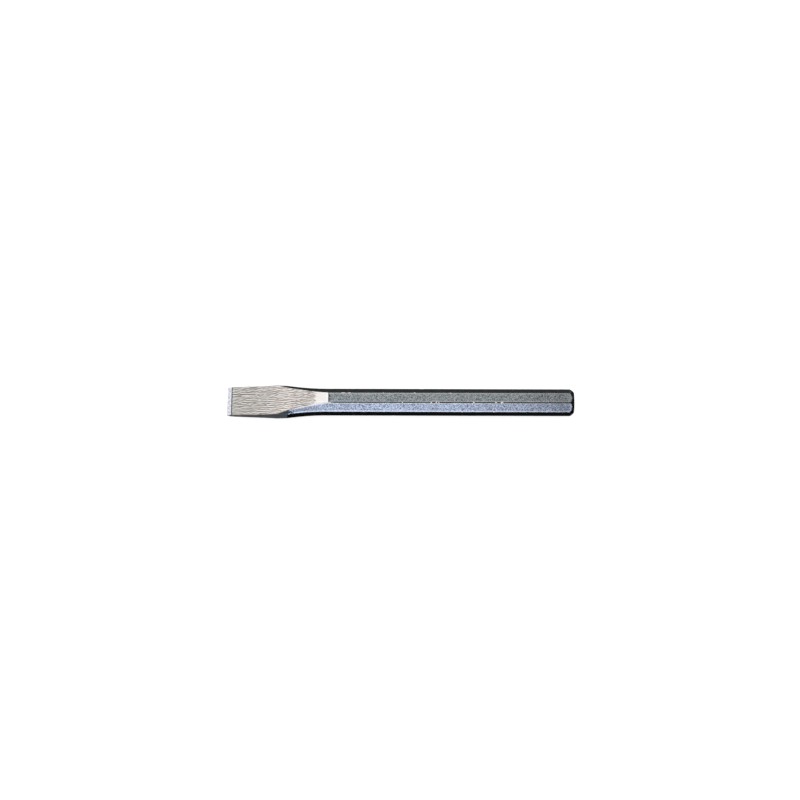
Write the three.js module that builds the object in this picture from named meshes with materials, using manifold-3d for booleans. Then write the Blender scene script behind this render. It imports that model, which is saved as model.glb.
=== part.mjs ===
// Flat cold chisel, forged in one piece from a bar of octagonal tool steel.
// Millimetres, +Z up. The chisel lies along X on the lower flat of its shank, with the
// cutting edge towards -X and the struck head towards +X. The middle of its footprint is
// the origin. Lengths along the blade are counted from the cutting edge.

import * as THREE from 'three';
import { mergeVertices, toCreasedNormals } from 'three/addons/utils/BufferGeometryUtils.js';
import Module from 'manifold-3d';

// The bar
const overall_length = 250;
const across_flats = 18;
const bar_edge_radius = 0.8; // rolled edge between two flats

// The forged flare, from the bar to the wide blade
const flare_start = 71.5; // where the sides begin to spread
const shoulder_distance = 43.3; // where the flare meets the ground sides
const shoulder_width = 22.4; // the widest place
const edge_width = 21.8; // the blade narrows a little towards the cutting edge
const side_stock = 0.8; // forged width that the grinding of each side takes off
const facet_blend = 16; // length over which the four corner facets begin to lift
const facet_runout = 35.5; // where the corner facets run out into the blade's arris

// The two ground faces, as thicknesses of the blade
const edge_land = 0.2; // flat left on the very edge
const bevel_length = 2.8;
const bevel_thickness = 2.6; // where the cutting bevels end
const hollow_end = 46; // where the hollow grinding gives way to a flat ramp
const hollow_end_thickness = 12.8;
const hollow_depth = 0.85; // of each face, at two thirds of the hollow's length
const face_length = 72.9; // where the ramp reaches the bar's flat

// The struck head
const head_face_diameter = 14.5;
const head_chamfer_length = 2.5; // along the bar's eight edges
const head_chamfer_crown = 0.1; // how far the chamfer bulges

// The cutting shapes reach this far past the steel
const cut_overrun = 5;

// Counts of sides and steps
const bar_sides = 8;
const edge_steps = 3;
const flare_steps = 18;
const hollow_steps = 12;
const head_sides = 96;
const head_steps = 5;

const crease_angle = Math.PI / 7;
const half_flats = across_flats / 2;
const facet_angle = (2 * Math.PI) / bar_sides;
const corner_radius = half_flats / Math.cos(facet_angle / 2);

const wasm = await Module();
wasm.setup();

function alongBar(distance) {
  return distance - overall_length / 2;
}

function straightLine(distance, start, start_value, end, end_value) {
  return THREE.MathUtils.mapLinear(distance, start, end, start_value, end_value);
}

// Outlines of the ground blade

function groundHalfWidth(distance) {
  return straightLine(distance, 0, edge_width / 2, shoulder_distance, shoulder_width / 2);
}

function groundHalfThickness(distance) {
  if (distance < bevel_length) {
    return straightLine(distance, 0, edge_land / 2, bevel_length, bevel_thickness / 2);
  }
  if (distance > hollow_end) {
    return straightLine(distance, hollow_end, hollow_end_thickness / 2, face_length, half_flats);
  }
  const share = (distance - bevel_length) / (hollow_end - bevel_length);
  const chord = THREE.MathUtils.lerp(bevel_thickness / 2, hollow_end_thickness / 2, share);
  return chord - (hollow_depth * 27 * share ** 2 * (1 - share)) / 4;
}

// Outlines of the forged blank

const flare_length = flare_start - shoulder_distance;
const flare_rise = shoulder_width / 2 - half_flats;
const flare_radius = (flare_length ** 2 + flare_rise ** 2) / (2 * flare_rise);

function forgedHalfWidth(distance) {
  const reach = Math.max(0, flare_start - distance);
  const spread = flare_radius - Math.sqrt(Math.max(0, flare_radius ** 2 - reach ** 2));
  return Math.min(half_flats + spread, shoulder_width / 2 + side_stock);
}

// A ramp that starts softly: it bends over the blend length and is straight after it.
function softRamp(reach) {
  if (reach < facet_blend) {
    return Math.max(0, reach) ** 2 / (2 * facet_blend);
  }
  return reach - facet_blend / 2;
}

const runout_corner = groundHalfWidth(facet_runout) + groundHalfThickness(facet_runout);
const runout_offset = runout_corner * Math.SQRT1_2;
const facet_slope = (runout_offset - half_flats) / softRamp(flare_start - facet_runout);

// Distance of a corner facet from the axis of the chisel
function facetOffset(distance) {
  return half_flats + facet_slope * softRamp(flare_start - distance);
}

// Cross-section of the blank: eight sides at fixed angles, each with its own distance from
// the axis, and every corner rounded with the bar's edge radius.
function blankSection(distance) {
  const offsets = [forgedHalfWidth(distance), facetOffset(distance), half_flats, facetOffset(distance)];
  const points = [];
  for (let side = 0; side < bar_sides; side += 1) {
    const here = side * facet_angle;
    const inner = offsets[side % offsets.length] - bar_edge_radius;
    const next_inner = offsets[(side + 1) % offsets.length] - bar_edge_radius;
    const slide = (next_inner - inner * Math.cos(facet_angle)) / Math.sin(facet_angle);
    const centre_y = inner * Math.cos(here) - slide * Math.sin(here);
    const centre_z = inner * Math.sin(here) + slide * Math.cos(here);
    for (let step = 0; step <= edge_steps; step += 1) {
      const angle = here + (facet_angle * step) / edge_steps;
      const y = centre_y + bar_edge_radius * Math.cos(angle);
      const z = centre_z + bar_edge_radius * Math.sin(angle);
      points.push(new THREE.Vector3(alongBar(distance), y, z));
    }
  }
  return points;
}

// Closed skin through cross-sections that all have the same number of points
function loft(sections) {
  const ring = sections[0].length;
  const positions = sections.flat().flatMap((point) => point.toArray());
  const index = [];
  for (let row = 0; row + 1 < sections.length; row += 1) {
    for (let i = 0; i < ring; i += 1) {
      const a = row * ring + i;
      const b = row * ring + ((i + 1) % ring);
      index.push(a, b, a + ring, b, b + ring, a + ring);
    }
  }
  const first = positions.length / 3;
  const last = first + 1;
  const last_row = (sections.length - 1) * ring;
  positions.push(sections[0][0].x, 0, 0, sections.at(-1)[0].x, 0, 0);
  for (let i = 0; i < ring; i += 1) {
    const j = (i + 1) % ring;
    index.push(first, j, i);
    index.push(last, last_row + i, last_row + j);
  }
  const geometry = new THREE.BufferGeometry();
  geometry.setAttribute('position', new THREE.Float32BufferAttribute(positions, 3));
  geometry.setIndex(index);
  return geometry;
}

function forgedBlank() {
  const distances = [-cut_overrun];
  for (let step = 0; step <= flare_steps; step += 1) {
    distances.push((flare_start * step) / flare_steps);
  }
  distances.push(shoulder_distance);
  distances.push(overall_length + cut_overrun);
  distances.sort((a, b) => a - b);
  return loft(distances.map(blankSection));
}

// Mirrors an outline given by its upper half, from the blade to the head, about the bar's axis.
function mirroredShape(upper) {
  const lower = upper.map((point) => new THREE.Vector2(point.x, -point.y));
  return new THREE.Shape([...lower, ...upper.reverse()]);
}

// Seen from the side: cutting bevels, hollow faces and the ramps up to the bar's flats
function facesCutter() {
  const upper = [new THREE.Vector2(alongBar(0), groundHalfThickness(0))];
  for (let step = 0; step <= hollow_steps; step += 1) {
    const distance = THREE.MathUtils.lerp(bevel_length, hollow_end, step / hollow_steps);
    upper.push(new THREE.Vector2(alongBar(distance), groundHalfThickness(distance)));
  }
  const top = half_flats + cut_overrun;
  const ramp_end = straightLine(top, hollow_end_thickness / 2, hollow_end, half_flats, face_length);
  upper.push(new THREE.Vector2(alongBar(ramp_end), top));
  upper.push(new THREE.Vector2(alongBar(overall_length + 2 * cut_overrun), top));
  const depth = shoulder_width + 2 * side_stock + 2 * cut_overrun;
  const geometry = new THREE.ExtrudeGeometry(mirroredShape(upper), { depth, bevelEnabled: false });
  geometry.translate(0, 0, -depth / 2);
  return geometry.rotateX(Math.PI / 2);
}

// Seen from above: the two ground sides of the blade, up to the shoulders
function sidesCutter() {
  const reach = shoulder_width / 2 + side_stock + cut_overrun;
  const upper = [
    new THREE.Vector2(alongBar(-2 * cut_overrun), groundHalfWidth(-2 * cut_overrun)),
    new THREE.Vector2(alongBar(shoulder_distance), groundHalfWidth(shoulder_distance)),
    new THREE.Vector2(alongBar(shoulder_distance), reach),
    new THREE.Vector2(alongBar(overall_length + 2 * cut_overrun), reach),
  ];
  const depth = across_flats + 2 * cut_overrun;
  const geometry = new THREE.ExtrudeGeometry(mirroredShape(upper), { depth, bevelEnabled: false });
  return geometry.translate(0, 0, -depth / 2);
}

// The head is turned: a flat face with a crowned chamfer that cuts the bar's eight edges.
function headCutter() {
  const face = new THREE.Vector2(head_face_diameter / 2, alongBar(overall_length));
  const rim = new THREE.Vector2(corner_radius, alongBar(overall_length - head_chamfer_length));
  const along = rim.clone().sub(face);
  const outward = new THREE.Vector2(-along.y, along.x).normalize();
  const tail = alongBar(-2 * cut_overrun);
  const clear = shoulder_width + cut_overrun;
  const profile = [new THREE.Vector2(0, tail), new THREE.Vector2(clear, tail)];
  const beyond = (clear - face.x) / along.x;
  profile.push(face.clone().addScaledVector(along, beyond));
  for (let step = head_steps; step >= 0; step -= 1) {
    const share = step / head_steps;
    const bulge = head_chamfer_crown * 4 * share * (1 - share);
    profile.push(face.clone().addScaledVector(along, share).addScaledVector(outward, bulge));
  }
  profile.push(new THREE.Vector2(0, face.y));
  const geometry = new THREE.LatheGeometry(profile, head_sides);
  geometry.rotateY(Math.PI / head_sides);
  return geometry.rotateZ(-Math.PI / 2);
}

// A solid from a closed geometry, without the empty triangles at the poles of a lathe.
// It gets an identity, by which its faces are known again after the cuts.
function toSolid(geometry) {
  const bare = geometry.clone();
  bare.deleteAttribute('normal');
  bare.deleteAttribute('uv');
  const merged = mergeVertices(bare);
  const triangles = [];
  for (let i = 0; i < merged.index.count; i += 3) {
    const [a, b, c] = merged.index.array.slice(i, i + 3);
    if (a !== b && b !== c && c !== a) {
      triangles.push(a, b, c);
    }
  }
  const vertProperties = new Float32Array(merged.attributes.position.array);
  const triVerts = new Uint32Array(triangles);
  return new wasm.Manifold(new wasm.Mesh({ numProp: 3, vertProperties, triVerts })).asOriginal();
}

// The triangles of the finished solid, with those that a ground surface left in a group of
// their own.
function toGeometry(solid, ground_ids) {
  const mesh = solid.getMesh();
  const geometry = new THREE.BufferGeometry();
  geometry.setAttribute('position', new THREE.BufferAttribute(mesh.vertProperties, 3));
  geometry.setIndex(new THREE.BufferAttribute(mesh.triVerts, 1));
  mesh.runOriginalID.forEach((id, run) => {
    const start = mesh.runIndex[run];
    const count = mesh.runIndex[run + 1] - start;
    geometry.addGroup(start, count, ground_ids.includes(id) ? 1 : 0);
  });
  return toCreasedNormals(geometry, crease_angle);
}

const lacquer = new THREE.MeshStandardMaterial({ color: 0x4a4d51, roughness: 0.45, metalness: 0.2 });
const ground_steel = new THREE.MeshStandardMaterial({ color: 0xc4c0ba, roughness: 0.35, metalness: 1 });

// One forging: the blank is ground on its faces and sides, then its head is turned.
function chiselForging() {
  const faces = toSolid(facesCutter());
  const sides = toSolid(sidesCutter());
  const blank = toSolid(forgedBlank());
  const head = toSolid(headCutter());
  const forging = blank.intersect(faces).intersect(sides).intersect(head);
  const geometry = toGeometry(forging, [faces.originalID(), sides.originalID()]);
  const mesh = new THREE.Mesh(geometry, [lacquer, ground_steel]);
  mesh.name = 'chisel_forging';
  mesh.position.z = half_flats;
  return mesh;
}

const cold_chisel = new THREE.Group();
cold_chisel.name = 'cold_chisel';
cold_chisel.add(chiselForging());

export default cold_chisel;
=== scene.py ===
"""Looks of the flat cold chisel: a fine surface over its forging, its finishes, studio and camera."""

import math

import bpy
import numpy as np
from mathutils import Matrix, Vector, noise


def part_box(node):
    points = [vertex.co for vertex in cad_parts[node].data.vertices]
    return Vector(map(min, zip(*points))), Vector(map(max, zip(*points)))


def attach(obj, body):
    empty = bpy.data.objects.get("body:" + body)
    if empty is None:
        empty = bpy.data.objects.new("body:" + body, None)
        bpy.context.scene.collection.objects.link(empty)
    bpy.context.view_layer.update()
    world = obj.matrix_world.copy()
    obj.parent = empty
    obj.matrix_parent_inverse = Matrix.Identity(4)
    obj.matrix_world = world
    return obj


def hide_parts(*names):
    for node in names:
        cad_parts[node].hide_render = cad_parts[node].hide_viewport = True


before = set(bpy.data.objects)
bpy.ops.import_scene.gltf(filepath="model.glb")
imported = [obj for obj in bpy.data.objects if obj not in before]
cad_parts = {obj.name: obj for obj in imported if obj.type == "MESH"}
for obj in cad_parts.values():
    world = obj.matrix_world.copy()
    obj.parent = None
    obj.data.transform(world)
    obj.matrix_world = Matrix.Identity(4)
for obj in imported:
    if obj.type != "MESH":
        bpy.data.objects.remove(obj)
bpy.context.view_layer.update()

MM = 0.001
NODE = "chisel_forging"
LOW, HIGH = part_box(NODE)

# The chisel's driving sizes. Lengths along the blade are counted from the cutting edge.
LENGTH = HIGH.x - LOW.x
HALF_FLATS = (HIGH.z - LOW.z) / 2
SHOULDER_HALF_WIDTH = (HIGH.y - LOW.y) / 2
AXIS_HEIGHT = (HIGH.z + LOW.z) / 2
SHOULDER_DISTANCE = 43.3 * MM
EDGE_HALF_WIDTH = 10.9 * MM
FLARE_START = 71.5 * MM
FACET_BLEND = 16 * MM
FACET_RUNOUT = 35.5 * MM
EDGE_HALF_LAND = 0.1 * MM
BEVEL_LENGTH = 2.8 * MM
BEVEL_HALF_THICKNESS = 1.3 * MM
HOLLOW_END = 46 * MM
HOLLOW_END_HALF_THICKNESS = 6.4 * MM
HOLLOW_DEPTH = 0.85 * MM
FACE_LENGTH = 72.9 * MM
HEAD_FACE_RADIUS = 7.25 * MM
HEAD_CHAMFER_LENGTH = 3.0 * MM
HEAD_CHAMFER_CROWN = 0.24 * MM

# Edges and small relief that the eye sees but the frame leaves out
BAR_EDGE_RADIUS = 0.45 * MM
GROUND_EDGE_RADIUS = 0.12 * MM
RADIUS_CHANGE = 3 * BAR_EDGE_RADIUS
EDGE_BREAK = 0.06 * MM
EDGE_BREAK_SHARE = 1 / 3    # the most that is broken off, as a share of the half thickness
HEAD_SOFTNESS = 0.12 * MM
HEAD_FACE_ROUND = 0.35 * MM
HEAD_FACE_CROWN = 0.22 * MM
TURNED_REACH = 3 * MM    # how far from the turned head its distance is still counted
BURR_DEPTH = 0.12 * MM
BURR_WIDTH = 0.35 * MM
SKIN_RELIEF = 0.05 * MM
SKIN_FADE = 4 * MM

# The chamfer's painted shade is weaker on the struck face, as if it lay this far within the turned
# surface
STRUCK_FACE_TURNED = -0.05 * MM

# The forged skin's two noises: waves per metre along X, Y and Z, offset, and share of the relief
BROAD_SKIN, BROAD_OFFSET, BROAD_SHARE = (90, 160, 160), (0, 0, 0), 0.35
FINE_SKIN, FINE_OFFSET, FINE_SHARE = (420, 420, 420), (7, 0, 0), 0.25

# The eight facets and edges are counted from the far upright side, over the top. Edge 0 follows
# facet 0: it lies between facets 0 and 1.
SIDES = 8
SIDE_FACETS = (0, 4)
FACE_FACETS = (2, 6)
FACET_ANGLE = math.tau / SIDES
DIAGONAL = math.sqrt(0.5)
FACES_UP = 0.9    # share of a direction that is upright on the faces and their rounded edges
CORNER_RADIUS = HALF_FLATS / math.cos(FACET_ANGLE / 2)

# Counts of mesh steps: across a face, a corner facet, a side, and round an edge
FACE_STEPS, FACET_STEPS, SIDE_STEPS, EDGE_STEPS = 36, 18, 14, 4
BLADE_STEP = 0.36 * MM
SHANK_STEP = 0.9 * MM
FEWEST_STEPS = 8
HEAD_STEPS = 18
HEAD_START = 1.3    # in chamfer lengths before the struck face
ROUND_STEPS = 5
HEAD_RINGS = 9
SHARP_ANGLE = math.radians(16)

# Bare chips along the edges: edge of the section, place and reach to either side, both in mm.
# Edge 1 lies behind the upper flat, 2 between it and the front facet, and 3 below that facet.
CHIPS = [
    (2, 126.0, 0.5), (2, 147.0, 0.6), (2, 150.4, 0.5), (2, 152.5, 0.4), (2, 177.4, 0.8),
    (2, 193.2, 0.8), (2, 197.6, 1.1), (2, 113.0, 0.3), (1, 83.6, 1.4), (1, 88.2, 1.1),
    (1, 113.0, 0.5), (1, 135.0, 0.7), (1, 160.5, 0.6), (3, 98.0, 0.7), (3, 169.0, 0.9),
    (3, 192.0, 1.0), (3, 44.6, 0.7), (0, 74.0, 1.0), (0, 140.0, 1.3), (4, 120.0, 1.2),
    (7, 160.0, 1.1), (5, 101.0, 1.2), (6, 176.0, 0.9), (6, 90.0, 0.7),
]
CHIP_DEPTH = 0.05 * MM
CHIP_REACH = 0.42 * MM


def smooth_step(value, low, high):
    """Goes from 0 to 1 as the value goes from low to high, without a kink at either end."""
    share = np.clip((value - low) / (high - low), 0, 1)
    return share * share * (3 - 2 * share)


def soft_ramp(reach):
    """Grows from 0 as a parabola over the facets' blend, and then as a straight line."""
    reach = np.maximum(reach, 0)
    return np.where(reach < FACET_BLEND, reach**2 / (2 * FACET_BLEND), reach - FACET_BLEND / 2)


def soft_limit(value, limit, softness):
    """The lesser of two lengths, with the crossing rounded off."""
    gap = np.maximum(softness - np.abs(value - limit), 0) / softness
    return np.minimum(value, limit) - gap**2 * softness / 4


def half_width(s):
    """Half width of the plan outline: ground sides, then a circular flare into the bar."""
    rise = SHOULDER_HALF_WIDTH - HALF_FLATS
    radius = ((FLARE_START - SHOULDER_DISTANCE) ** 2 + rise**2) / (2 * rise)
    reach = np.clip(FLARE_START - s, 0, FLARE_START - SHOULDER_DISTANCE)
    forged = HALF_FLATS + radius - np.sqrt(radius**2 - reach**2)
    ground = np.interp(s, [0, SHOULDER_DISTANCE], [EDGE_HALF_WIDTH, SHOULDER_HALF_WIDTH])
    return np.where(s < SHOULDER_DISTANCE, ground, forged)


def half_thickness(s):
    """Half thickness of the side outline: bevel, hollow-ground face with a burr, flat ramp, bar."""
    share = np.clip((s - BEVEL_LENGTH) / (HOLLOW_END - BEVEL_LENGTH), 0, 1)
    places = [0, BEVEL_LENGTH, HOLLOW_END, FACE_LENGTH]
    values = [EDGE_HALF_LAND, BEVEL_HALF_THICKNESS, HOLLOW_END_HALF_THICKNESS, HALF_FLATS]
    burr = BURR_DEPTH * np.exp(-(((s - BEVEL_LENGTH - BURR_WIDTH) / BURR_WIDTH) ** 2))
    deepest = 4 / 27    # the greatest value that the share's square times the rest can have
    hollow = HOLLOW_DEPTH / deepest * share**2 * (1 - share)
    return np.interp(s, places, values) - hollow - burr


def corner_offset(s):
    """Distance of the corner facets from the axis: they die out in the blade's arrises."""
    runout = np.array([FACET_RUNOUT])
    target = (half_width(runout) + half_thickness(runout)) * DIAGONAL
    slope = (target - HALF_FLATS) / soft_ramp(FLARE_START - runout)
    forged = HALF_FLATS + slope * soft_ramp(FLARE_START - s)
    arris = (half_width(s) + half_thickness(s)) * DIAGONAL
    return np.minimum(forged, arris - np.minimum(EDGE_BREAK, half_thickness(s) * EDGE_BREAK_SHARE))


def edge_radii(s, facet_length):
    """Radius of each of the eight edges: small where an edge is ground, larger where it is forged."""
    side = smooth_step(s, SHOULDER_DISTANCE, SHOULDER_DISTANCE + RADIUS_CHANGE)
    face = smooth_step(s, FACE_LENGTH - RADIUS_CHANGE, FACE_LENGTH)
    spread = BAR_EDGE_RADIUS - GROUND_EDGE_RADIUS
    by_side = GROUND_EDGE_RADIUS + spread * side
    by_face = GROUND_EDGE_RADIUS + spread * face
    radii = np.stack([by_side, by_face, by_face, by_side] * 2, axis=1)
    return np.minimum(radii, facet_length[:, None])


def ring_plan():
    """The points of a section as (edge, share, round_edge), from the middle of the far side.

    The share goes round the edge, or else along the facet that follows it.
    """
    steps = [SIDE_STEPS, FACET_STEPS, FACE_STEPS, FACET_STEPS] * 2
    plan = []
    for edge in range(SIDES):
        plan += [(edge, step / EDGE_STEPS, True) for step in range(EDGE_STEPS)]
        count = steps[(edge + 1) % SIDES]
        plan += [(edge, step / count, False) for step in range(count)]
    turn = len(plan) - SIDE_STEPS // 2
    return plan[turn:] + plan[:turn]


PLAN = ring_plan()
RING = len(PLAN)


def sections(s):
    """Points and outward directions of the section at every place s, before any relief."""
    width, thick, corner = half_width(s), half_thickness(s), corner_offset(s)
    facet_length = 2 * ((width + thick) * DIAGONAL - corner)
    radii = edge_radii(s, facet_length)
    offsets = np.stack([width, corner, thick, corner] * 2, axis=1)
    cos, sin = math.cos(FACET_ANGLE), math.sin(FACET_ANGLE)

    def edge_point(edge, share):
        angle = FACET_ANGLE * (edge + share)
        here, after = FACET_ANGLE * edge, (edge + 1) % SIDES
        radius = radii[:, edge]
        inner, next_inner = offsets[:, edge] - radius, offsets[:, after] - radius
        slide = (next_inner - inner * cos) / sin
        y = inner * math.cos(here) - slide * math.sin(here) + radius * math.cos(angle)
        z = inner * math.sin(here) + slide * math.cos(here) + radius * math.sin(angle)
        return np.stack([y, z], axis=1)

    points, directions = [], []
    for edge, share, round_edge in PLAN:
        if round_edge:
            points.append(edge_point(edge, share))
            angle = FACET_ANGLE * (edge + share)
        else:
            start, end = edge_point(edge, 1), edge_point((edge + 1) % SIDES, 0)
            points.append(start + (end - start) * share)
            angle = FACET_ANGLE * (edge + 1)
        directions.append([math.cos(angle), math.sin(angle)])
    return np.stack(points, axis=1), np.array(directions)


def stations():
    """Places along the chisel, finer in the blade, with one on every line where surfaces meet."""
    head = LENGTH - HEAD_START * HEAD_CHAMFER_LENGTH
    marks = [0, BEVEL_LENGTH, SHOULDER_DISTANCE, FACE_LENGTH, head]
    places = []
    for start, end in zip(marks, marks[1:]):
        step = BLADE_STEP if end <= FACE_LENGTH else SHANK_STEP
        count = max(FEWEST_STEPS, round((end - start) / step))
        places.append(np.linspace(start, end, count, endpoint=False))
    return np.concatenate(places)


def face_drop(radius):
    """How far the struck face lies behind its middle at this radius."""
    return HEAD_FACE_CROWN * (radius / HEAD_FACE_RADIUS) ** 2


def head_profile():
    """Turned head from the bar to the struck face: places along the chisel, and radii."""
    across = CORNER_RADIUS - HEAD_FACE_RADIUS
    long = math.hypot(across, HEAD_CHAMFER_LENGTH)
    round_share = HEAD_FACE_ROUND / long
    share = np.linspace(HEAD_START, round_share, HEAD_STEPS)
    bulge = HEAD_CHAMFER_CROWN * np.maximum(4 * share * (1 - share), -1)
    radius = HEAD_FACE_RADIUS + across * share + bulge * HEAD_CHAMFER_LENGTH / long
    back = HEAD_FACE_CROWN + HEAD_CHAMFER_LENGTH * share - bulge * across / long
    turn = np.linspace(0, 1, ROUND_STEPS + 1)[1:]
    radius_end = HEAD_FACE_RADIUS - HEAD_FACE_ROUND
    weights = (1 - turn) ** 2, 2 * turn * (1 - turn), turn**2
    corner = HEAD_FACE_RADIUS, HEAD_FACE_CROWN
    radius_round = radius[-1] * weights[0] + corner[0] * weights[1] + radius_end * weights[2]
    back_round = back[-1] * weights[0] + corner[1] * weights[1] + face_drop(radius_end) * weights[2]
    return LENGTH - np.concatenate([back, back_round]), np.concatenate([radius, radius_round])


def section_places():
    """Places of all the sections, and the turned radius that limits each: endless before the head."""
    plain = stations()
    head, radius = head_profile()
    return np.concatenate([plain, head]), np.concatenate([np.full(len(plain), np.inf), radius])


def edge_distances(points):
    """How far each point is from each of the eight edges of its own section."""
    edge_of = np.array([edge if round_edge else -1 for edge, share, round_edge in PLAN])
    crests = [points[:, edge_of == edge].mean(axis=1) for edge in range(SIDES)]
    return np.linalg.norm(points[:, :, None] - np.stack(crests, axis=1)[:, None], axis=3)


def chip_wear(s, away):
    """Wear at each point: 1 in the middle of a chip, less and less along and away from its edge."""
    wear = np.zeros(away.shape[:2])
    for edge, place, reach in CHIPS:
        along = ((s - place * MM) / (reach * MM))[:, None]
        wear = np.maximum(wear, np.exp(-(along**2) - (away[:, :, edge] / CHIP_REACH) ** 2))
    return wear


def noise_at(places, waves, offset):
    """Smooth noise around 0, within about 1 of it, at each place."""
    return np.array([noise.noise(place) for place in places * waves + offset])


def skin_relief(places):
    """Unevenness of the forged skin, about 0 to 1, at each place."""
    broad = noise_at(places, BROAD_SKIN, BROAD_OFFSET)
    fine = noise_at(places, FINE_SKIN, FINE_OFFSET)
    return 0.5 + BROAD_SHARE * broad + FINE_SHARE * fine


def skin_depth(s, points, directions):
    """How deep the forged skin dips at each point. The ground surfaces and the head stay even."""
    on_face = (s < FACE_LENGTH)[:, None] & (np.abs(directions[:, 1]) > FACES_UP)
    ground = on_face | (s < SHOULDER_DISTANCE)[:, None]
    rows, columns = np.nonzero(~ground)
    relief = np.zeros(points.shape[:2])
    relief[rows, columns] = skin_relief(np.column_stack([s[rows], points[rows, columns]]))
    fade = 1 - smooth_step(s, LENGTH - SKIN_FADE, LENGTH)[:, None]
    return relief * SKIN_RELIEF * fade


LACQUER, FACE, BEVEL, SIDE = range(4)


def finish_of(s, edge, share, round_edge):
    """Material of the small face that starts at this point of the plan, at place s."""
    on_first_facet = round_edge and share < 0.5
    facet = edge if on_first_facet else (edge + 1) % SIDES
    if s > FACE_LENGTH:
        return LACQUER
    if s < BEVEL_LENGTH:
        return SIDE if facet in SIDE_FACETS and not round_edge else BEVEL
    if facet in SIDE_FACETS:
        return SIDE if s < SHOULDER_DISTANCE else LACQUER
    if facet in FACE_FACETS:
        return FACE
    return FACE if s < FACET_RUNOUT else LACQUER


def skin_faces(s):
    """Quads between each section and the next, each with its finish."""
    for row, middle in enumerate((s[:-1] + s[1:]) / 2):
        for i, step in enumerate(PLAN):
            a, b = row * RING + i, row * RING + (i + 1) % RING
            yield (a, b, b + RING, a + RING), finish_of(middle, *step)


def land_faces():
    """The cutting edge's narrow land, closed from its upper to its lower side."""
    for i in range(RING // 2):
        low, high = (RING - i) % RING, RING - i - 1
        yield tuple(dict.fromkeys((i, low, high, i + 1))), BEVEL


def struck_face_points(outline):
    """Smaller and smaller rings inside the head's outline, and then the middle."""
    for step in range(1, HEAD_RINGS):
        for y, z in outline * (1 - step / HEAD_RINGS):
            yield HIGH.x - face_drop(math.hypot(y, z)), y, z + AXIS_HEIGHT
    yield HIGH.x, 0, AXIS_HEIGHT


def struck_faces(first):
    """Faces between the rings of the struck face. The outermost ring's vertices start at first."""
    last = first + (HEAD_RINGS - 1) * RING
    for start in range(first, last, RING):
        for i in range(RING):
            j = (i + 1) % RING
            yield (start + i, start + j, start + RING + j, start + RING + i), LACQUER
    for i in range(RING):
        yield (last + i, last + (i + 1) % RING, last + RING), LACQUER


def add_marks(mesh, wear, rim, turned):
    """Stores what the lacquer reads: chips, and distances in mm from an edge and the turned head."""
    marks = {
        "wear": (wear, 0),
        "rim": (rim / MM, HEAD_FACE_RADIUS / MM),
        "turned": (turned / MM, STRUCK_FACE_TURNED / MM),
    }
    for name, (values, on_struck_face) in marks.items():
        rest = np.full(len(mesh.vertices) - values.size, on_struck_face)
        layer = mesh.attributes.new(name, "FLOAT", "POINT")
        layer.data.foreach_set("value", np.concatenate([values.ravel(), rest]))


def chisel_surface():
    """One closed skin over the whole forging, with its finishes and wear."""
    s, limit = section_places()
    points, directions = sections(s)
    radius = np.linalg.norm(points, axis=2)
    turned = np.maximum(radius - limit[:, None], -TURNED_REACH)
    points *= (soft_limit(radius, limit[:, None], HEAD_SOFTNESS) / radius)[:, :, None]
    away = edge_distances(points)
    wear = chip_wear(s, away)
    depth = skin_depth(s, points, directions) + wear * CHIP_DEPTH
    points -= directions[None, :, :] * depth[:, :, None]

    x = np.repeat(LOW.x + s, RING)
    y, z = points.reshape(-1, 2).T
    vertices = list(zip(x, y, z + AXIS_HEIGHT)) + list(struck_face_points(points[-1]))
    dressed = [*skin_faces(s), *land_faces(), *struck_faces((len(s) - 1) * RING)]
    faces, finishes = zip(*dressed)

    mesh = bpy.data.meshes.new("chisel")
    mesh.from_pydata(vertices, [], faces)
    mesh.polygons.foreach_set("material_index", finishes)
    mesh.polygons.foreach_set("use_smooth", [True] * len(faces))
    add_marks(mesh, wear, away.min(axis=2), turned)
    mesh.validate()
    mesh.set_sharp_from_angle(angle=SHARP_ANGLE)
    piece = bpy.data.objects.new("chisel", mesh)
    bpy.context.scene.collection.objects.link(piece)
    return piece


def colour(r, g, b):
    return (r, g, b, 1.0)


def grey(level):
    return colour(level, level, level)


WHITE = grey(1)


class Nodes:
    """A node tree under construction: each call makes a node and sets or links its inputs."""

    def __init__(self, tree):
        self.tree = tree

    def give(self, socket, value):
        if isinstance(value, bpy.types.NodeSocket):
            self.tree.links.new(value, socket)
        elif value is not None:
            socket.default_value = value

    def add(self, kind, *inputs, **settings):
        """Adds a node, gives its first inputs in order (None leaves one) and returns its output."""
        node = self.tree.nodes.new("ShaderNode" + kind)
        for key, value in settings.items():
            setattr(node, key, value)
        sockets = [socket for socket in node.inputs if socket.enabled]
        for socket, value in zip(sockets, inputs):
            self.give(socket, value)
        return next(socket for socket in node.outputs if socket.enabled)

    def ramp(self, value, start, end, low=0.0, high=1.0):
        """Goes from low to high as the value goes from start to end."""
        return self.add("MapRange", value, start, end, low, high)

    def math(self, operation, *values):
        return self.add("Math", *values, operation=operation)

    def mix(self, share, first, second):
        node = self.tree.nodes.new("ShaderNodeMix")
        node.data_type = "RGBA"
        for name, value in (("Factor_Float", share), ("A_Color", first), ("B_Color", second)):
            self.give(next(s for s in node.inputs if s.identifier == name), value)
        return next(s for s in node.outputs if s.identifier == "Result_Color")


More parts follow.
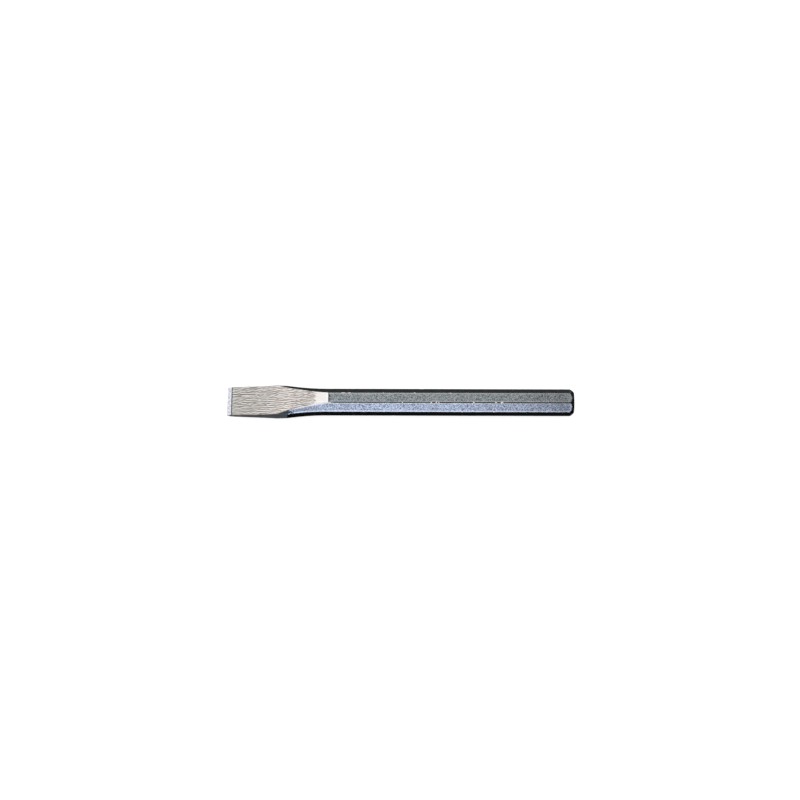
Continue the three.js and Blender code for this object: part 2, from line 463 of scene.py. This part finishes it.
class Finish(Nodes):
    """A metallic material. Its nodes work in millimetres, counted from the frame's origin."""

    def __init__(self, name):
        self.material = bpy.data.materials.new(name)
        self.material.use_nodes = True
        super().__init__(self.material.node_tree)
        self.shader = self.tree.nodes["Principled BSDF"]
        self.shader.inputs["Metallic"].default_value = 1.0
        coordinates = self.add("TexCoord").node.outputs["Object"]
        self.place = self.add("VectorMath", coordinates, (1 / MM,) * 3, operation="MULTIPLY")

    def set(self, **sockets):
        for name, value in sockets.items():
            self.give(self.shader.inputs[name.replace("_", " ")], value)

    def pattern_place(self, lengths, offset):
        """The place counted in these lengths, in mm, along X, Y and Z."""
        scale = tuple(1 / length for length in lengths)
        at = self.add("VectorMath", self.place, scale, operation="MULTIPLY")
        return self.add("VectorMath", at, offset, operation="ADD")

    def noise(self, wavelengths, detail, offset=(0, 0, 0), roughness=0.6):
        """Fractal noise from 0 to 1 whose pattern has these wavelengths in mm along X, Y and Z."""
        at = self.pattern_place(wavelengths, offset)
        return self.add("TexNoise", at, 1.0, detail, roughness)

    def speckle(self, size, offset=(0, 0, 0)):
        """A random value from 0 to 1 in each of many small cells of this size in mm."""
        at = self.pattern_place((size,) * 3, offset)
        return self.add("SeparateColor", self.add("TexVoronoi", at, 1.0).node.outputs["Color"])

    def reach(self, distance, start, end, low=0.0, high=1.0):
        """ramp() of a distance between two lengths in metres."""
        return self.ramp(distance, start / MM, end / MM, low, high)

    def along(self):
        """Distance from the cutting edge."""
        return self.math("SUBTRACT", self.add("SeparateXYZ", self.place), LOW.x / MM)

    def across(self):
        """Distance from the chisel's upright middle plane, less than nothing in front of it."""
        return self.add("SeparateXYZ", self.place).node.outputs["Y"]

    def height(self):
        """Distance from the chisel's level middle plane."""
        z = self.add("SeparateXYZ", self.place).node.outputs["Z"]
        return self.math("ABSOLUTE", self.math("SUBTRACT", z, AXIS_HEIGHT / MM))

    def attribute(self, name):
        return self.add("Attribute", attribute_name=name).node.outputs["Fac"]

    def bump(self, height, depth, strength=1.0):
        """Relief whose full height is this depth in metres."""
        filter_width = 1.0
        return self.add("Bump", strength, depth, filter_width, height)

    def uneven(self, distance, pattern, spread, shift):
        """A distance that a pattern with this spread makes up to this many metres more or less."""
        return self.math("ADD", distance, self.ramp(pattern, *spread, low=-shift / MM, high=shift / MM))


# Nearly all values of a noise lie in the first of these ranges, and most in the second
WIDE, NARROW = (0.3, 0.7), (0.35, 0.65)

# The lacquer's grain: sizes in mm, colours and where they change
SPECK_SIZE, HUE_SIZE = 0.45, 0.7
SPECK_SPREAD = (0.1, 0.9)
DARK_SPECK = colour(0.085, 0.095, 0.1)
GREENISH_SPECK, REDDISH_SPECK = colour(0.38, 0.492, 0.485), colour(0.5, 0.467, 0.515)
GRAIN_WAVES, GRAIN_DEPTH = (0.8, 0.83, 0.83), 0.02 * MM
MOTTLE_WAVES = (9, 6, 6)
PATCH_SPREAD, PATCH_SHARE, PATCH_TONE = (0.35, 0.7), 0.2, colour(0.22, 0.24, 0.252)
DULL_STRETCH, DULL_SHARE, DULL_TONE = (50 * MM, 80 * MM), 0.34, colour(0.08, 0.09, 0.1)
LACQUER_ROUGHNESS = {"low": 0.3, "high": 0.22}

# Painted highlights beside an edge, as a distance from it, and beside the turned chamfer
EDGE_HIGHLIGHT_REACH, EDGE_HIGHLIGHT_SHARE = (0.6 * MM, 1.2 * MM), 0.6
HEAD_RIM_HIGHLIGHT_REACH, HEAD_RIM_HIGHLIGHT_SHARE = (-1.2 * MM, -0.4 * MM), 0.45
FLAT_END = (3.6 * MM, 3.9 * MM)
FLAT_HIGHLIGHT_TONE, FACET_HIGHLIGHT_TONE = colour(0.52, 0.56, 0.58), colour(0.7, 0.7, 0.66)

# Painted dark reflection: a black line along the edges of the upper and lower flats, wider on the
# facet's side of an edge, fainter at the far edge, and only beyond the ground face
CREST_ON_FLAT, CREST_ON_FACET = (0.32 * MM, 0.44 * MM), (0.58 * MM, 0.72 * MM)
CREST_WAVER = 0.05 * MM
FACET_TOP = (HALF_FLATS - 0.14 * MM, HALF_FLATS - 0.07 * MM)
FLAT_EDGES = (HALF_FLATS - 1.2 * MM, HALF_FLATS - 0.8 * MM)
CREST_PALE, CREST_PALE_SHARE = (0.35, 0.5), 0.85
MIDDLE, CREST_FAR_SHARE = (-1 * MM, 1 * MM), 0.3
CREST_START, CREST_SHARE = (FACE_LENGTH + 0.1 * MM, FACE_LENGTH + 4.1 * MM), 0.97
CREST_REFLECTION_TONE = colour(0.03, 0.033, 0.035)

# Dark ends of the lacquer: painted shade on the turned chamfer and on the facets' tips, and the dark
# paint edge beside the face
CHAMFER_REACH, CHAMFER_SHARE = (-0.1 * MM, 0.05 * MM), 0.92
CHAMFER_PAINTED_SHADE = colour(0.025, 0.027, 0.029)
TIP_END = (SHOULDER_DISTANCE + 1.9 * MM, SHOULDER_DISTANCE + 4.1 * MM)
TIP_SCATTER, TIP_SHARE, TIP_PAINTED_SHADE = 3 * MM, 0.95, colour(0.009, 0.022, 0.028)
PAINT_EDGE = (FACE_LENGTH + 0.8 * MM, FACE_LENGTH + 1.5 * MM)
PAINT_EDGE_WIDTH = (3.2 * MM, 3.9 * MM)
FRINGE_WAVES, FRINGE = (1.5, 1.1, 1.1), 0.9 * MM
PAINT_EDGE_SHARE, PAINT_EDGE_TONE = 0.9, colour(0.03, 0.035, 0.04)

# Bare steel in the chips: a crumbly outline, dull and not quite metallic
CRUMBLE_WAVES, CRUMBLE_SPREAD = (0.7, 0.5, 0.5), (0.25, 0.6)
CRUMBLE = {"low": 0.6, "high": 1.6}
BARE_WEAR = (0.45, 0.6)
BARE_TONE, BARE_ROUGHNESS, BARE_METALLIC = colour(1, 0.95, 0.88), 0.6, 0.7


def speckled_lacquer(f, speckle, mottle):
    """Dark and pale specks, some greenish and some reddish, duller in patches and near the blade."""
    pale = f.mix(f.speckle(HUE_SIZE, offset=(5, 5, 5)), GREENISH_SPECK, REDDISH_SPECK)
    base = f.mix(f.ramp(speckle, *SPECK_SPREAD), DARK_SPECK, pale)
    base = f.mix(f.ramp(mottle, *PATCH_SPREAD, high=PATCH_SHARE), base, PATCH_TONE)
    return f.mix(f.reach(f.along(), *DULL_STRETCH, low=DULL_SHARE, high=0), base, DULL_TONE)


def painted_edge_highlights(f, base, rim, turned):
    """Painted highlights: the lacquer made lighter beside the edges and beside the turned chamfer."""
    beside_edge = f.reach(rim, *EDGE_HIGHLIGHT_REACH, low=EDGE_HIGHLIGHT_SHARE, high=0)
    beside_head = f.reach(turned, *HEAD_RIM_HIGHLIGHT_REACH, high=HEAD_RIM_HIGHLIGHT_SHARE)
    from_middle = f.math("ABSOLUTE", f.across())
    tone = f.mix(f.reach(from_middle, *FLAT_END), FLAT_HIGHLIGHT_TONE, FACET_HIGHLIGHT_TONE)
    return f.mix(f.math("MAXIMUM", beside_edge, beside_head), base, tone)


def painted_crest_reflections(f, base, rim, mottle):
    """Painted dark reflection: a thin black line along the crest of each edge of the upper and lower
    flats.
    """
    crest = f.uneven(rim, mottle, WIDE, CREST_WAVER)
    on_facet = f.reach(f.height(), *FACET_TOP, low=1, high=0)
    facet_side = f.math("MULTIPLY", f.reach(crest, *CREST_ON_FACET, low=1, high=0), on_facet)
    line = f.math("MAXIMUM", f.reach(crest, *CREST_ON_FLAT, low=1, high=0), facet_side)
    for share in (
        f.reach(f.height(), *FLAT_EDGES),
        f.ramp(mottle, *CREST_PALE, low=CREST_PALE_SHARE),
        f.reach(f.across(), *MIDDLE, low=1, high=CREST_FAR_SHARE),
        f.reach(f.along(), *CREST_START, high=CREST_SHARE),
    ):
        line = f.math("MULTIPLY", line, share)
    return f.mix(line, base, CREST_REFLECTION_TONE)


def painted_shade_and_paint_edge(f, base, turned, speckle):
    """Painted shade on the turned chamfer and on the facets' tips, and lacquer left black along the
    ground face's end.
    """
    # painted shade on the turned chamfer
    base = f.mix(f.reach(turned, *CHAMFER_REACH, high=CHAMFER_SHARE), base, CHAMFER_PAINTED_SHADE)
    # painted shade darkening the corner facets' tips beside the blade
    tip = f.uneven(f.along(), speckle, (0, 1), TIP_SCATTER)
    base = f.mix(f.reach(tip, *TIP_END, low=TIP_SHARE, high=0), base, TIP_PAINTED_SHADE)
    fringe = f.noise(FRINGE_WAVES, 2, offset=(0, 0, 5))
    ragged = f.uneven(f.along(), fringe, NARROW, FRINGE)
    on_flat = f.reach(f.math("ABSOLUTE", f.across()), *PAINT_EDGE_WIDTH, low=1, high=0)
    edge = f.math("MULTIPLY", f.reach(ragged, *PAINT_EDGE, low=PAINT_EDGE_SHARE, high=0), on_flat)
    return f.mix(edge, base, PAINT_EDGE_TONE)


def bare_chips(f):
    """Where the lacquer has chipped off: 1 on bare steel, 0 on lacquer."""
    crumble = f.noise(CRUMBLE_WAVES, 2, offset=(0, 9, 0))
    wear = f.math("MULTIPLY", f.attribute("wear"), f.ramp(crumble, *CRUMBLE_SPREAD, **CRUMBLE))
    return f.ramp(wear, *BARE_WEAR)


def lacquer_finish():
    """Dark lacquer over a blasted forging: dense grain, painted highlights and painted dark reflections
    along the edges, painted shade at the ends, a dark paint edge, bare chips.
    """
    f = Finish("lacquer")
    rim, turned = f.attribute("rim"), f.attribute("turned")
    speckle = f.speckle(SPECK_SIZE)
    mottle = f.noise(MOTTLE_WAVES, 2, offset=(3, 0, 0))
    base = speckled_lacquer(f, speckle, mottle)
    # painted highlights beside the edges and the turned chamfer
    base = painted_edge_highlights(f, base, rim, turned)
    # painted dark reflections along the crests of the flats' edges
    base = painted_crest_reflections(f, base, rim, mottle)
    # painted shade at the chamfer and the facets' tips, and the dark paint edge
    base = painted_shade_and_paint_edge(f, base, turned, speckle)
    bare = bare_chips(f)
    gloss = f.ramp(speckle, 0, 1, **LACQUER_ROUGHNESS)
    f.set(Base_Color=f.mix(bare, base, BARE_TONE))
    f.set(Roughness=f.math("MAXIMUM", gloss, f.ramp(bare, 0, 1, high=BARE_ROUGHNESS)))
    f.set(Metallic=f.ramp(bare, 0, 1, low=1, high=BARE_METALLIC))
    f.set(Normal=f.bump(f.noise(GRAIN_WAVES, 2, roughness=0.65), GRAIN_DEPTH))
    return f.material


# Grinding marks on the faces: two sets of lines, their spacing in mm, wandering a little and
# broken up, and fine scratches. The last pairs say how strong each is where it fades and shows.
LINE_SPACING, COARSE_SPACING = 1.52, 2.3
WANDER_WAVES = (50, 7, 40)
BREAK_WAVES, BREAKS = (3.4, 2.4, 40), {"low": -0.75, "high": 1.5}
FADE_WAVES, FADES = (5, 2.4, 40), {"low": -0.14, "high": 0.14}
SCRATCH_WAVES, SCRATCHES = (4, 0.17, 40), {"low": 0.12, "high": 0.88}
MARK_DEPTH, MARK_STRENGTH = 0.015 * MM, 0.6
MARK_ROUGHNESS = {"low": 0.46, "high": 0.36}

# Tone of the marks, with painted light that brightens it in clouds from the bevel to the end of the
# hollow
CLOUD_WAVES, CLOUD = (14, 7, 40), 9 * MM
PAINTED_SHADE_STRETCH = (2 * MM, HOLLOW_END)
DARK_MARK, DARK_MARK_BACK = colour(0.2, 0.175, 0.15), colour(0.33, 0.265, 0.225)
LIGHT_MARK, LIGHT_MARK_BACK = colour(0.8, 0.79, 0.755), colour(0.99, 0.955, 0.925)

# The smooth run-out beside the lacquer, brightened partly by painted light, with a painted highlight at
# its rim, and painted shade along the burr behind the bevel
RUNOUT_START = (FACE_LENGTH - 10.7 * MM, FACE_LENGTH - 9.1 * MM)
RUNOUT_WAVES, RUNOUT_RAGGED = (5.5, 1.2, 40), 2.2 * MM
RUNOUT_TONE, RUNOUT_LIGHT_TONE = colour(0.86, 0.8, 0.785), colour(0.99, 0.955, 0.94)
RUNOUT_SMOOTHER = 0.12
RIM_START = (FACE_LENGTH - 2.1 * MM, FACE_LENGTH - 1.3 * MM)
RIM_HIGHLIGHT_SHARE, RIM_HIGHLIGHT_TONE = 0.6, colour(1, 0.98, 0.975)
BURR_PLACE, BURR_REACH = BEVEL_LENGTH + 0.4 * MM, (0.3 * MM, 0.6 * MM)
BURR_SHADE_SHARE, BURR_SHADE_TONE = 0.85, colour(0.06, 0.065, 0.06)


def lengthwise_lines(f, spacing, drift, strength):
    """Lines this far apart in mm that wander with the drift and are as strong as the last value."""
    phase = f.math("ADD", f.math("DIVIDE", f.across(), spacing), drift)
    return f.math("MULTIPLY", f.math("SINE", f.math("MULTIPLY", phase, math.tau)), strength)


def grinding_marks(f, scratches):
    """Marks from dark, 0, to light, 1."""
    wander = f.noise(WANDER_WAVES, 0)
    breaks = f.ramp(f.noise(BREAK_WAVES, 1, offset=(0, 7, 0)), *WIDE, **BREAKS)
    fades = f.ramp(f.noise(FADE_WAVES, 1, offset=(9, 0, 0)), *NARROW, **FADES)
    lines = lengthwise_lines(f, LINE_SPACING, wander, breaks)
    coarse = lengthwise_lines(f, COARSE_SPACING, f.math("MULTIPLY", wander, -1), fades)
    return f.math("ADD", f.math("ADD", lines, coarse), f.ramp(scratches, *WIDE, **SCRATCHES))


def marked_steel(f, marks):
    """Tone of the marks, with painted shade: dark by the cutting edge, lighter and warmer further back.
    """
    cloud = f.noise(CLOUD_WAVES, 1, offset=(0, 0, 3))
    # painted shade along the face, fading out towards the end of the hollow
    shade = f.reach(f.uneven(f.along(), cloud, WIDE, CLOUD), *PAINTED_SHADE_STRETCH)
    dark = f.mix(shade, DARK_MARK, DARK_MARK_BACK)
    light = f.mix(shade, LIGHT_MARK, LIGHT_MARK_BACK)
    return f.mix(f.ramp(marks, 0, 1), dark, light)


def ground_face_finish():
    """Steel ground lengthwise: broken streaks, and a smooth run-out beside the lacquer, bright partly
    by painted light, with a painted highlight at its rim and painted shade along the burr.
    """
    f = Finish("ground_face")
    s = f.along()
    scratches = f.noise(SCRATCH_WAVES, 2, offset=(5, 0, 0), roughness=0.7)
    marks = grinding_marks(f, scratches)
    ragged = f.noise(RUNOUT_WAVES, 2, offset=(0, 4, 0))
    smooth = f.reach(f.uneven(s, ragged, WIDE, RUNOUT_RAGGED), *RUNOUT_START)
    runout = f.mix(f.ramp(scratches, *NARROW), RUNOUT_TONE, RUNOUT_LIGHT_TONE)
    # the run-out is smoother steel, also brightened by painted light
    base = f.mix(smooth, marked_steel(f, marks), runout)
    # painted highlight along the run-out's rim beside the lacquer
    base = f.mix(f.reach(s, *RIM_START, high=RIM_HIGHLIGHT_SHARE), base, RIM_HIGHLIGHT_TONE)
    # painted shade: a dark line along the burr behind the bevel
    from_burr = f.math("ABSOLUTE", f.math("SUBTRACT", s, BURR_PLACE / MM))
    base = f.mix(f.reach(from_burr, *BURR_REACH, low=BURR_SHADE_SHARE, high=0), base, BURR_SHADE_TONE)
    rough = f.ramp(marks, 0, 1, **MARK_ROUGHNESS)
    rough = f.math("SUBTRACT", rough, f.math("MULTIPLY", smooth, RUNOUT_SMOOTHER))
    f.set(Base_Color=base, Roughness=rough, Normal=f.bump(marks, MARK_DEPTH, MARK_STRENGTH))
    return f.material


def streaked_finish(name, tones, waves, detail, roughness, depth, strength):
    """Steel with one kind of marks. Tones and roughness are for the dark and the light marks."""
    f = Finish(name)
    lines = f.noise(waves, detail)
    f.set(Base_Color=f.mix(f.ramp(lines, *NARROW), *tones))
    f.set(Roughness=f.ramp(lines, *NARROW, *roughness), Normal=f.bump(lines, depth, strength))
    return f.material


def bevel_finish():
    """The two cutting bevels: fine stone marks across the edge, bright."""
    tones = colour(0.47, 0.47, 0.505), colour(0.775, 0.775, 0.81)
    return streaked_finish(
        "bevel", tones, waves=(1.6, 0.9, 5), detail=3,
        roughness=(0.38, 0.28), depth=0.008 * MM, strength=0.5,
    )


def ground_side_finish():
    """The narrow ground sides of the blade: coarse lengthwise marks, duller than the faces."""
    tones = colour(0.39, 0.39, 0.38), colour(0.8, 0.8, 0.78)
    return streaked_finish(
        "ground_side", tones, waves=(7, 40, 0.9), detail=2,
        roughness=(0.6, 0.5), depth=0.015 * MM, strength=0.6,
    )


def dress(piece):
    """Gives the piece its finishes, in the order of their numbers, and its place in the frame."""
    for material in (lacquer_finish(), ground_face_finish(), bevel_finish(), ground_side_finish()):
        piece.data.materials.append(material)
    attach(piece, "root")
    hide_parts(NODE)


# Softboxes: name, direction from the chisel, distance, width along X and height in metres,
# radiance and tint
LIGHTS = [
    ("top_light", (-0.35, 0.42, 0.9), 0.8, (1.0, 0.5), 1.0, (1, 1, 1)),
    ("front_light", (-0.125, -0.9, 0.42), 0.75, (0.51, 0.38), 2.0, (0.83, 0.885, 1.14)),
    ("left_light", (-0.75, 0.4, 0.52), 0.8, (0.4, 0.4), 0.8, (0.98, 0.98, 1.06)),
    ("head_light", (0.92, 0.38, 0.13), 0.9, (0.22, 0.2), 0.9, (1, 1, 1)),
    ("end_light", (0.84, 0.04, 0.54), 0.9, (0.36, 0.24), 1.2, (1, 1, 1)),
    ("rear_light", (0.3, 0.93, 0.3), 0.8, (0.7, 0.25), 1.5, (1, 1, 1)),
    ("near_left_light", (-0.64, -0.42, 0.64), 0.9, (0.45, 0.4), 0.9, (1, 1, 1)),
    ("far_left_light", (-0.6, 0.72, 0.36), 0.9, (0.4, 0.36), 1.0, (1, 1, 1)),
    ("near_right_light", (0.6, -0.66, 0.42), 0.9, (0.45, 0.36), 1.1, (0.88, 1, 1.16)),
    ("far_right_light", (0.68, 0.28, 0.68), 0.9, (0.45, 0.4), 0.8, (1, 1, 1)),
]
NEARLY_LENGTHWISE = 0.6    # share of a direction that lies along X

FLOOR_SIZE = 30
FLOOR_TONE, FLOOR_ROUGHNESS, FLOOR_GLOW = grey(0.3), 0.9, 0.8

# The room that gloss mirrors: share of the way from straight down to straight up, and tone
ROOM_STOPS = [
    (0.2, grey(0.006)), (0.3, grey(0.056)), (0.5, grey(0.12)), (0.62, grey(0.05)),
    (0.9, colour(0.04, 0.04, 0.042)),
]


def softbox(name, direction, distance, size, radiance, tint):
    """A rectangular soft light that faces the chisel, unseen itself."""
    light = bpy.data.lights.new(name, "AREA")
    light.shape = "RECTANGLE"
    light.size, light.size_y = size
    light.energy = radiance * math.pi * size[0] * size[1]
    light.color = tint
    lamp = bpy.data.objects.new(name, light)
    towards = Vector(direction).normalized()
    across = Vector((1, 0, 0)) if abs(towards.x) < NEARLY_LENGTHWISE else Vector((0, 1, 0))
    up = towards.cross(across).normalized()
    across = up.cross(towards).normalized()
    turn = Matrix((across, up, towards)).transposed().to_4x4()
    lamp.matrix_world = Matrix.Translation(Vector((0, 0, AXIS_HEIGHT)) + towards * distance) @ turn
    lamp.visible_camera = False
    bpy.context.scene.collection.objects.link(lamp)


def light_table():
    """A plain white floor that glows a little, so that shadows stay faint. Gloss doesn't mirror it."""
    bpy.ops.mesh.primitive_plane_add(size=FLOOR_SIZE, location=(0, 0, 0))
    floor = bpy.context.object
    floor.name = "floor"
    paper = bpy.data.materials.new("paper")
    paper.use_nodes = True
    shader = paper.node_tree.nodes["Principled BSDF"]
    shader.inputs["Base Color"].default_value = FLOOR_TONE
    shader.inputs["Roughness"].default_value = FLOOR_ROUGHNESS
    shader.inputs["Specular IOR Level"].default_value = 0
    shader.inputs["Emission Color"].default_value = WHITE
    shader.inputs["Emission Strength"].default_value = FLOOR_GLOW
    floor.data.materials.append(paper)
    floor.visible_glossy = False


def room():
    """White to the eye. Gloss mirrors a dim room: black below, paler at the level of the horizon."""
    world = bpy.data.worlds.new("studio")
    world.use_nodes = True
    build = Nodes(world.node_tree)
    direction = build.add("TexCoord").node.outputs["Generated"]
    rise = build.add("SeparateXYZ", direction).node.outputs["Z"]
    mirrored = build.add("ValToRGB", build.ramp(rise, -1, 1))
    stops = mirrored.node.color_ramp.elements
    stops.remove(stops[-1])
    stops[0].position, stops[0].color = ROOM_STOPS[0]
    for height, tone in ROOM_STOPS[1:]:
        stops.new(height).color = tone
    by_gloss = build.add("LightPath").node.outputs["Is Glossy Ray"]
    seen = build.mix(by_gloss, WHITE, mirrored)
    build.give(world.node_tree.nodes["Background"].inputs["Color"], seen)
    bpy.context.scene.world = world


def studio():
    light_table()
    room()
    bpy.context.scene.view_settings.view_transform = "Standard"
    for light in LIGHTS:
        softbox(*light)


# The photograph's view: angles, distance in metres, and the chisel's length and place in pixels
ELEVATION = math.radians(67.5)
ROLL = 0.0027
CAMERA_DISTANCE = 1.8
CAMERA_CLIP = (0.01, 100)
PHOTO_SIDE = 800
CHISEL_PIXELS = 346.6
CENTRE_PIXEL = (400.8, 402.3)


def camera():
    """A long lens square to the chisel's length, rolled a little as in the photograph."""
    sight = Vector((0, -math.cos(ELEVATION), math.sin(ELEVATION)))
    right = Vector((1, 0, 0))
    up = sight.cross(right)
    data = bpy.data.cameras.new("camera")
    cam = bpy.data.objects.new("camera", data)
    pixel = LENGTH / CHISEL_PIXELS
    data.lens = data.sensor_width * CAMERA_DISTANCE / (pixel * PHOTO_SIDE)
    aim = Vector((0, 0, AXIS_HEIGHT))
    aim -= right * (CENTRE_PIXEL[0] - PHOTO_SIDE / 2) * pixel
    aim += up * (CENTRE_PIXEL[1] - PHOTO_SIDE / 2) * pixel
    turn = Matrix((right, up, sight)).transposed().to_4x4() @ Matrix.Rotation(ROLL, 4, "Z")
    cam.matrix_world = Matrix.Translation(aim + sight * CAMERA_DISTANCE) @ turn
    data.clip_start, data.clip_end = CAMERA_CLIP
    bpy.context.scene.collection.objects.link(cam)
    bpy.context.scene.camera = cam


camera()
studio()
dress(chisel_surface())
